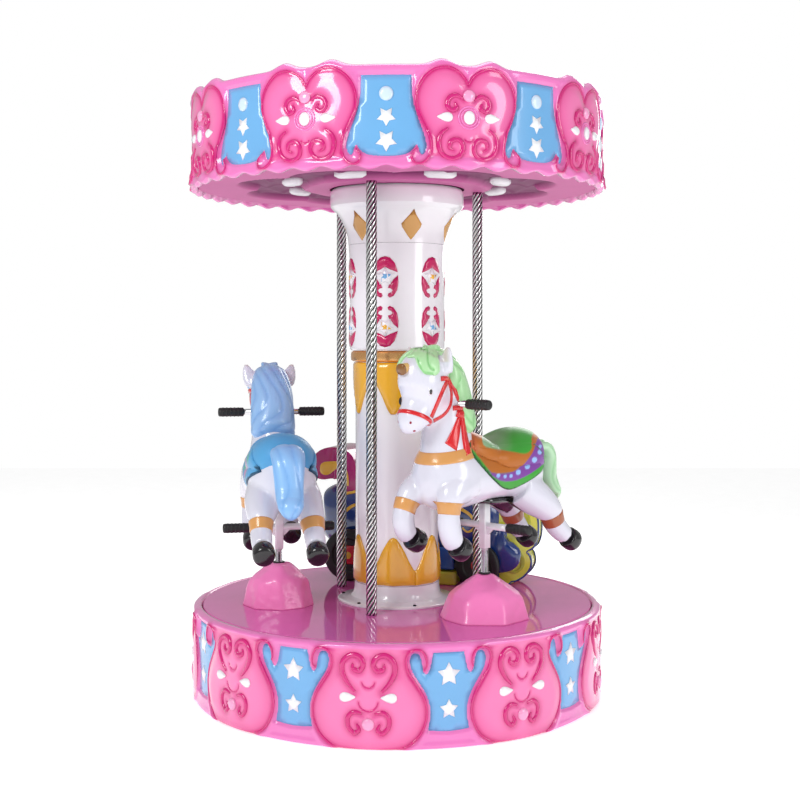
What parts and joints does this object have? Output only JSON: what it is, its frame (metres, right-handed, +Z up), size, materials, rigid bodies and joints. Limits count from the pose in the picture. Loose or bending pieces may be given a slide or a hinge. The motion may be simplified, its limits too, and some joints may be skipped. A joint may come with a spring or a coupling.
{
  "type": "kiddie carousel",
  "caption": "Small fairground carousel with a pink canopy and base, painted centre column, twisted poles, ponies on rods and a small carriage.",
  "frame": {"origin": "centre of the base's underside, on the floor under the column", "axes": "+Z up along the column; -Y is the side the picture was taken from"},
  "size_m": [1.504, 1.503, 2.178],
  "materials": {
    "pink_gelcoat": "glossy gelcoat",
    "mauve_gelcoat": "glossy gelcoat",
    "white_gelcoat": "glossy gelcoat",
    "gold_paint": "gold paint",
    "yellow_gelcoat": "glossy gelcoat",
    "chrome": "polished",
    "dark_steel": "dark primer",
    "black_rubber": "moulded rubber",
    "navy_gelcoat": "glossy gelcoat",
    "magenta_gelcoat": "glossy gelcoat",
    "lime_gelcoat": "glossy gelcoat",
    "red_gelcoat": "glossy gelcoat"
  },
  "bodies": {
    "base": {"base_skirt_1": "pink_gelcoat", "base_skirt_2": "pink_gelcoat", "base_skirt_3": "pink_gelcoat", "chassis_frame": "dark_steel", "bearing_housing": "dark_steel"},
    "turntable": {"turntable_hub": "dark_steel", "turntable_floor": "mauve_gelcoat", "column_foot": "white_gelcoat", "column_shaft": "white_gelcoat", "column_petals": "yellow_gelcoat", "column_swags": "yellow_gelcoat", "column_gold_ring": "gold_paint", "column_drum": "white_gelcoat", "column_capital": "white_gelcoat", "canopy_ceiling": "mauve_gelcoat", "canopy_roof": "pink_gelcoat", "canopy_valance_1": "pink_gelcoat", "canopy_valance_2": "pink_gelcoat", "canopy_valance_3": "pink_gelcoat", "pole_1": "chrome", "pole_2": "chrome", "pole_3": "chrome", "right_pony_rock": "pink_gelcoat", "left_pony_rock": "pink_gelcoat", "carriage_hull": "navy_gelcoat", "carriage_back": "magenta_gelcoat", "carriage_bench": "red_gelcoat", "carriage_prow": "lime_gelcoat", "carriage_plinth": "lime_gelcoat", "carriage_front_wheels": "black_rubber", "carriage_rear_wheels": "black_rubber"},
    "right_pony": {"right_pony_body": "white_gelcoat", "right_pony_handlebar": "black_rubber", "right_pony_footrest": "black_rubber", "right_pony_rod": "chrome"},
    "left_pony": {"left_pony_body": "white_gelcoat", "left_pony_handlebar": "black_rubber", "left_pony_footrest": "black_rubber", "left_pony_rod": "chrome"}
  },
  "joints": [
    {"name": "turntable_spin", "type": "hinge", "parent": "base", "child": "turntable", "pos_m": [0, 0, 0], "axis": [0, 0, 1], "continuous": true},
    {"name": "right_pony_bob", "type": "slide", "parent": "turntable", "child": "right_pony", "axis": [0, 0, 1], "range_m": [-0.06, 0.02]},
    {"name": "left_pony_bob", "type": "slide", "parent": "turntable", "child": "left_pony", "axis": [0, 0, 1], "range_m": [-0.02, 0.06]}
  ]
}
